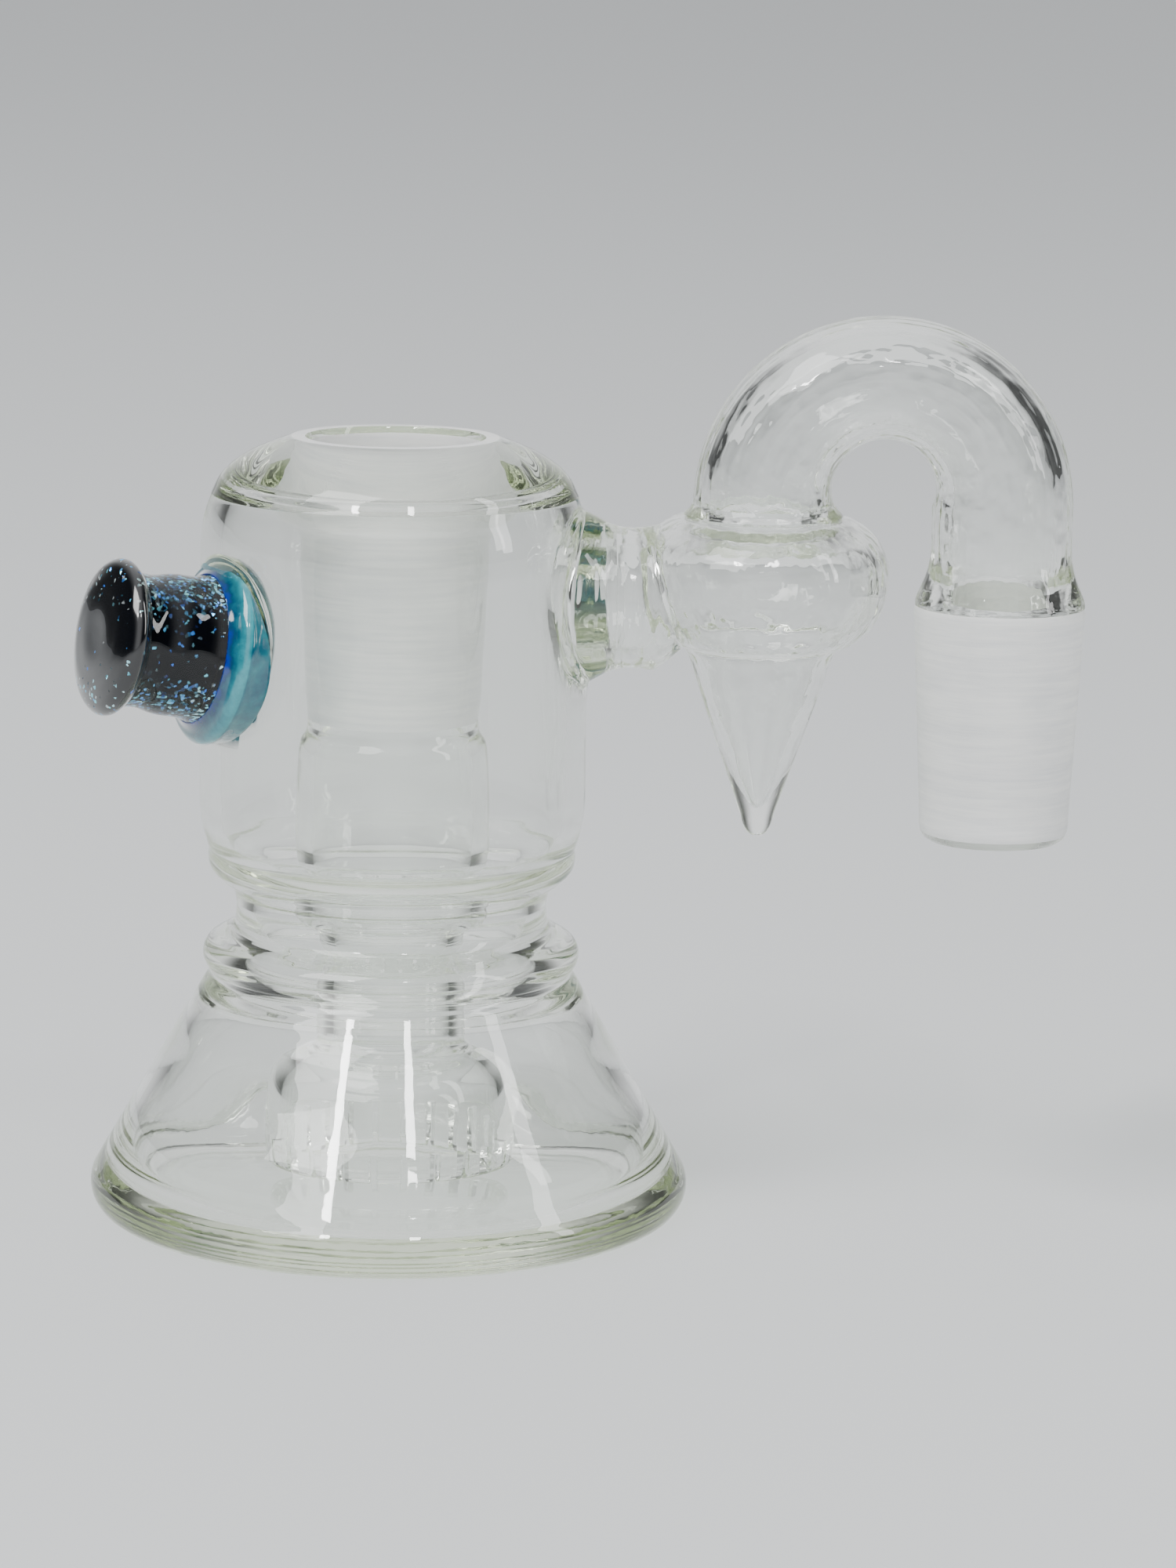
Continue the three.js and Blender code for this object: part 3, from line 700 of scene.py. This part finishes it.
bpy.ops.mesh.select_all(action="SELECT")
bpy.ops.mesh.normals_make_consistent(inside=False)
bpy.ops.object.mode_set(mode="OBJECT")
for point in gooseneck.data.vertices:
    across, up = point.co.x / MM - BEND_X, point.co.z / MM - BEND_Z
    if up > 0:
        out = math.hypot(across, up)
        edge_r = BEND_R + ARM_R
        moved = edge_r - (edge_r - out) * (1 - BEND_FLAT * up / out)
        point.co.x = (BEND_X + across * moved / out) * MM
        point.co.z = (BEND_Z + up * moved / out) * MM
drawn = glass("borosilicate glass, bent in a flame", 2.8, 0.15, 0.9, flow="drawn")
held = gooseneck.data.attributes.new("drawn", "FLOAT_VECTOR", "POINT")
for point, item in zip(gooseneck.data.vertices, held.data):
    across, up = point.co.x / MM - BEND_X, point.co.z / MM - BEND_Z
    out, along = math.hypot(across, up) - BEND_R, BEND_R * math.atan2(up, across)
    if up < 0:
        out, along = abs(across) - BEND_R, up if across > 0 else BEND_R * math.pi - up
    item.vector = Vector((out, point.co.y / MM, along)) * MM
finished(gooseneck, [drawn], ["gooseneck_weld", "gooseneck", "outlet_flare"], edge=60)

# ---- Outlet joint ----
# A standard ground cone, one in ten, of the same glass. Its outside is white from grinding. Its flat end
# and small bevel were polished clear again, and the bore was never ground.
PLUG_R = 9.4


def plug_at(height):
    """Radius of the ground cone."""
    return PLUG_R - TAPER / 2 * (OUTLET_TOP - height)


plug_line = [
    (PLUG_R - 0.12, OUTLET_TOP, "corner"),
    (plug_at(OUTLET_TOP - 0.5), OUTLET_TOP - 0.5),
    (plug_at(OUTLET_TOP - 1.5), OUTLET_TOP - 1.5),
    (plug_at(56), 56),
    (plug_at(OUTLET_END + 2.5), OUTLET_END + 2.5),
    (plug_at(OUTLET_END + 1.3), OUTLET_END + 1.3),
    (plug_at(OUTLET_END) - 0.2, OUTLET_END + 0.5),
    (plug_at(OUTLET_END) - 0.8, OUTLET_END, "corner"),
    (OUTLET_BORE + 0.3, OUTLET_END, "corner"),
    (OUTLET_BORE, OUTLET_END + 0.4),
    (OUTLET_BORE, OUTLET_END + 3),
    (OUTLET_BORE, OUTLET_TOP - 3),
    (OUTLET_BORE, OUTLET_TOP, "corner"),
]
to_outlet = Matrix.Translation(Vector((OUTLET_X, 0, 0)) * MM)
plug = placed(turned("outlet_ground_joint", plug_line, 144), to_outlet)
finished(plug, [frosted, clear], ["outlet_joint"], edge=35)
for face in plug.data.polygons:
    middle = face.center / MM
    out = math.hypot(middle.x - OUTLET_X, middle.y)
    if out < plug_at(middle.z) - 0.4 or middle.z < OUTLET_END + 0.9:
        face.material_index = 1

# ---- Knob ----
# A grip fused to the can: a teal disc flared like a trumpet, a shaft of black glass full of metal flakes
# under a clear skin, and a round head of the same black glass. It is only for looks and holding.


def marked(piece, name, measure):
    """Stores a number for each point, for a material to read."""
    held = piece.data.attributes.new(name, "FLOAT", "POINT")
    for point, item in zip(piece.data.vertices, held.data):
        item.value = measure(point.co)
    return piece


def sparkling(name, share, coat):
    """Black glass with flakes of dichroic foil, about a third of a millimetre across. share is how many
    show in the bands above and below the middle, which are painted glints where the lamps catch the
    flakes, and coat is the shine on top."""
    material = bpy.data.materials.new(name)
    material.use_nodes = True
    tree = material.node_tree
    shader = tree.nodes["Principled BSDF"]
    where = add(tree, "TexCoord").outputs["Object"]
    painted_glint_band = add(tree, "Attribute", attribute_name="painted_glint_band").outputs["Fac"]
    flakes = add(tree, "TexVoronoi", {"Vector": where, "Scale": 1 / (0.34 * MM)})
    pick = add(tree, "SeparateColor", {"Color": flakes.outputs["Color"]})
    drift = add(tree, "TexNoise", {"Vector": where, "Scale": 1 / (2.4 * MM), "Detail": 3})
    # The flakes are real, but they are shown more densely above and below the middle: painted glints, where
    # the lamps catch them.
    drift_and_glint_band = add(tree, "Math", {0: drift.outputs["Fac"], 1: 0.9, 2: painted_glint_band}, operation="MULTIPLY_ADD")
    level = add(tree, "MapRange", {"Value": drift_and_glint_band.outputs[0], "From Min": 0.7, "From Max": 1.4})
    level.inputs["To Min"].default_value = 1 - share * 0.08
    level.inputs["To Max"].default_value = 1 - share
    kept = {0: pick.outputs[0], 1: level.outputs[0]}
    shown = add(tree, "Math", kept, operation="GREATER_THAN")
    foil = add(tree, "ValToRGB", {"Fac": pick.outputs[1]})
    foil.color_ramp.elements[0].color = linear("#2a6fd8")
    foil.color_ramp.elements[1].color = linear("#f4feff")
    foil.color_ramp.elements.new(0.4).color = linear("#7fdcee")
    colour = add(tree, "Mix", {"Factor": shown.outputs[0]}, data_type="RGBA")
    colour.inputs[6].default_value = linear("#020409")
    tree.links.new(foil.outputs[0], colour.inputs[7])
    tree.links.new(colour.outputs[2], shader.inputs["Base Color"])
    tree.links.new(shown.outputs[0], shader.inputs["Metallic"])
    # Each flake leans its own way, so that only some of them catch a lamp.
    middle_grey = {0: flakes.outputs["Color"], 1: (0.5, 0.5, 0.5)}
    lean = add(tree, "VectorMath", middle_grey, operation="SUBTRACT")
    only_flakes = {0: lean.outputs[0], "Scale": shown.outputs[0]}
    turned_by = add(tree, "VectorMath", only_flakes, operation="SCALE")
    facing = add(tree, "NewGeometry").outputs["Normal"]
    tilted = add(tree, "VectorMath", {0: facing, 1: turned_by.outputs[0]}, operation="ADD")
    unit = add(tree, "VectorMath", {0: tilted.outputs[0]}, operation="NORMALIZE")
    tree.links.new(unit.outputs[0], shader.inputs["Normal"])
    shader.inputs["Roughness"].default_value = 0.14
    shader.inputs["Specular IOR Level"].default_value = coat * 0.5
    shader.inputs["Coat Weight"].default_value = coat
    shader.inputs["Coat Roughness"].default_value = 0.02
    return material


def teal_glass():
    """Teal glass: deep blue streaks near the shaft, paling to teal towards the disc's edge, where a
    near-white cyan line is a painted highlight.
    """
    material = bpy.data.materials.new("teal glass")
    material.use_nodes = True
    tree = material.node_tree
    shader = tree.nodes["Principled BSDF"]
    where = add(tree, "TexCoord").outputs["Object"]
    out = add(tree, "Attribute", attribute_name="out").outputs["Fac"]
    streaks = {"Vector": where, "Scale": 1 / (1.7 * MM), "Detail": 4, "Roughness": 0.6}
    blot = add(tree, "TexNoise", streaks)
    place = add(tree, "MapRange", {"Value": out, "From Min": 0.72, "From Max": 1.0})
    place.inputs["To Min"].default_value = -0.3
    place.inputs["To Max"].default_value = 0.46
    shift = add(tree, "Math", {0: blot.outputs["Fac"], 1: 0.6}, operation="MULTIPLY_ADD")
    tree.links.new(place.outputs[0], shift.inputs[2])
    ramp = add(tree, "ValToRGB", {"Fac": shift.outputs[0]})
    ramp.color_ramp.elements[0].position = 0.05
    ramp.color_ramp.elements[0].color = linear("#03102c")
    # The teal and blue tones are the glass's own colour. The near-white end of the ramp, reached only at the
    # disc's very edge, is a painted highlight on the rim.
    ramp.color_ramp.elements[1].position = 1.0
    ramp.color_ramp.elements[1].color = linear("#c4eef2")
    for at, code in ((0.14, "#0b2f9e"), (0.3, "#0a3f60"), (0.6, "#1c7886"), (0.88, "#3fa3ae")):
        ramp.color_ramp.elements.new(at).color = linear(code)
    tree.links.new(ramp.outputs[0], shader.inputs["Base Color"])
    bump = add(tree, "Bump", {"Height": blot.outputs["Fac"], "Distance": 0.05 * MM, "Strength": 0.5})
    tree.links.new(bump.outputs[0], shader.inputs["Normal"])
    shader.inputs["Roughness"].default_value = 0.08
    shader.inputs["IOR"].default_value = 1.48
    shader.inputs["Coat Weight"].default_value = 1
    shader.inputs["Coat Roughness"].default_value = 0.02
    return material


# The core is fused in clear glass, so it has no shine of its own.
flakes_dense = sparkling("black glass with dense foil flakes", 0.7, 0)
flakes_thin = sparkling("black glass with thin foil flakes", 0.1, 1)
teal = teal_glass()
FLANGE_R = 10.2
FLANGE_T = 1.9
SHAFT_R = 7.8
NECK_R = 7.1
SHAFT_L = 8.1
HEAD_R = 8.5
HEAD_T = 3.2
HEAD_X = FLANGE_T + SHAFT_L + 0.6
from_knob = along_knob.inverted()

flange_line = [
    (0, -5, "corner"),
    (9.3, -5, "corner"),
    (9.9, -1.2),
    (FLANGE_R, 0.3),
    (FLANGE_R - 0.45, 0.95),
    (FLANGE_R - 1.3, 1.3),
    (SHAFT_R + 0.35, FLANGE_T, "corner"),
    (0, FLANGE_T, "corner"),
]
flange = placed(turned("knob_teal_flange", flange_line, 112, closed=False), along_knob)
SUNK = 0.35  # how deep the disc is melted into the can
hull_line = [(r - SUNK if r else 0, z, *c) for r, z, *c in outside]
combined(flange, turned("can_hull", hull_line, 160, closed=False), "DIFFERENCE")


def from_shaft(point):
    """How far out a point of the disc is. The face that is fused to the can counts as near the edge."""
    local = from_knob @ point
    return 0.9 if local.z < 0 else local.xy.length / (FLANGE_R * MM)


marked(flange, "out", from_shaft)
finished(flange, [teal], ["knob_flange"], edge=35)

skin_line = [
    (0, FLANGE_T + GAP, "corner"),
    (SHAFT_R + 0.2, FLANGE_T + GAP, "corner"),
    (SHAFT_R - 0.1, FLANGE_T + 1.2),
    (NECK_R + 0.5, FLANGE_T + 4),
    (NECK_R + 0.05, FLANGE_T + 6.6),
    (NECK_R + 0.25, HEAD_X - 0.25, "corner"),
    (0, HEAD_X - 0.25, "corner"),
]
casing = placed(turned("knob_clear_casing", skin_line, 112, closed=False), along_knob)
finished(casing, [clear], ["knob_casing"], edge=35)

core_line = [
    (0, FLANGE_T + 0.1, "corner"),
    (SHAFT_R - 1.5, FLANGE_T + 0.1, "corner"),
    (NECK_R - 1.0, FLANGE_T + 4),
    (NECK_R - 1.3, HEAD_X - 0.35, "corner"),
    (0, HEAD_X - 0.35, "corner"),
]
core = placed(turned("knob_sparkle_core", core_line, 112, closed=False), along_knob)
# The height above or below the shaft's axis places the painted glints among its flakes.
marked(core, "painted_glint_band", lambda p: abs((from_knob @ p).x) / (SHAFT_R * MM))
finished(core, [flakes_dense], ["knob_core"], edge=35)

head_line = [
    (0, HEAD_X - 0.2, "corner"),
    (NECK_R + 0.3, HEAD_X - 0.2, "corner"),
    (HEAD_R - 0.5, HEAD_X + 0.3),
    (HEAD_R, HEAD_X + 1.1),
    (HEAD_R - 0.3, HEAD_X + 2.0),
    (HEAD_R - 1.8, HEAD_X + HEAD_T - 0.4),
    (HEAD_R - 4.2, HEAD_X + HEAD_T - 0.05),
    (0, HEAD_X + HEAD_T),
]
head = placed(turned("knob_round_head", head_line, 112, closed=False), along_knob)
# The height above or below the head's axis places the painted glints among its flakes.
marked(head, "painted_glint_band", lambda p: abs((from_knob @ p).x) / (HEAD_R * MM))
finished(head, [flakes_thin], ["knob_head"], edge=35)

# ---- Floor, light and camera ----
# A plain pale floor under soft studio light. The sides of the room are darker than its front and back,
# which draws the edges of clear glass.
bpy.ops.mesh.primitive_plane_add(size=12, location=(0, 0, 0))
floor = bpy.context.object
floor.name = "floor"
paper = bpy.data.materials.new("pale paper floor")
paper.use_nodes = True
paper_shader = paper.node_tree.nodes["Principled BSDF"]
paper_shader.inputs["Base Color"].default_value = linear("#dadcdd")
paper_shader.inputs["Roughness"].default_value = 0.7
floor.data.materials.append(paper)

world = bpy.data.worlds.new("studio")
bpy.context.scene.world = world
world.use_nodes = True
sky = world.node_tree
way = add(sky, "TexCoord").outputs["Generated"]
axes = add(sky, "SeparateXYZ", {0: way})
sideways = add(sky, "Math", {0: axes.outputs[0]}, operation="ABSOLUTE")
spread = {"Value": sideways.outputs[0], "From Min": 0.18, "From Max": 0.7}
dim = add(sky, "MapRange", spread, interpolation_type="SMOOTHSTEP")
dim.inputs["To Min"].default_value = 1.3
dim.inputs["To Max"].default_value = 0.06
sky.links.new(dim.outputs[0], sky.nodes["Background"].inputs["Strength"])
sky.nodes["Background"].inputs["Color"].default_value = linear("#f4f6f8")


def softbox(name, width, height, power, place, target):
    """A rectangular soft light, turned to face target."""
    data = bpy.data.lights.new(name, "AREA")
    data.shape = "RECTANGLE"
    data.size, data.size_y = width, height
    data.energy = power
    lamp = bpy.data.objects.new(name, data)
    bpy.context.scene.collection.objects.link(lamp)
    lamp.location = place
    lamp.rotation_euler = (Vector(target) - Vector(place)).to_track_quat("-Z", "Y").to_euler()
    return lamp


MIDDLE = (0.02, 0, 0.05)
softbox("key", 1.1, 1.1, 38, (-0.9, -0.8, 1.7), MIDDLE)
softbox("strip", 0.1, 0.7, 2.2, (0.7, -0.25, 0.45), MIDDLE)
softbox("spark_left", 0.05, 0.05, 0.7, (-0.3, -0.55, 0.6), MIDDLE)
softbox("spark_right", 0.05, 0.05, 0.5, (0.12, -0.6, 0.62), MIDDLE)

PAN = 0.038
TILT = 0.1836
ROLL_OF_CAMERA = 0.016
camera_data = bpy.data.cameras.new("camera")
camera_data.lens = 120
camera_data.sensor_width = 36
camera = bpy.data.objects.new("camera", camera_data)
bpy.context.scene.collection.objects.link(camera)
camera.matrix_world = (
    Matrix.Translation((0, -0.5655, 0.15307))
    @ Matrix.Rotation(-PAN, 4, "Z")
    @ Matrix.Rotation(math.pi / 2 - TILT, 4, "X")
    @ Matrix.Rotation(ROLL_OF_CAMERA, 4, "Z")
)
bpy.context.scene.camera = camera
# Light is guided round thick glass for a long way, and a lamp shines through many walls at once.
bpy.context.scene.cycles.max_bounces = 64
bpy.context.scene.cycles.transmission_bounces = 64
bpy.context.scene.cycles.glossy_bounces = 64
bpy.context.scene.cycles.transparent_max_bounces = 48
bpy.context.scene.cycles.caustics_refractive = False
bpy.context.scene.cycles.caustics_reflective = False
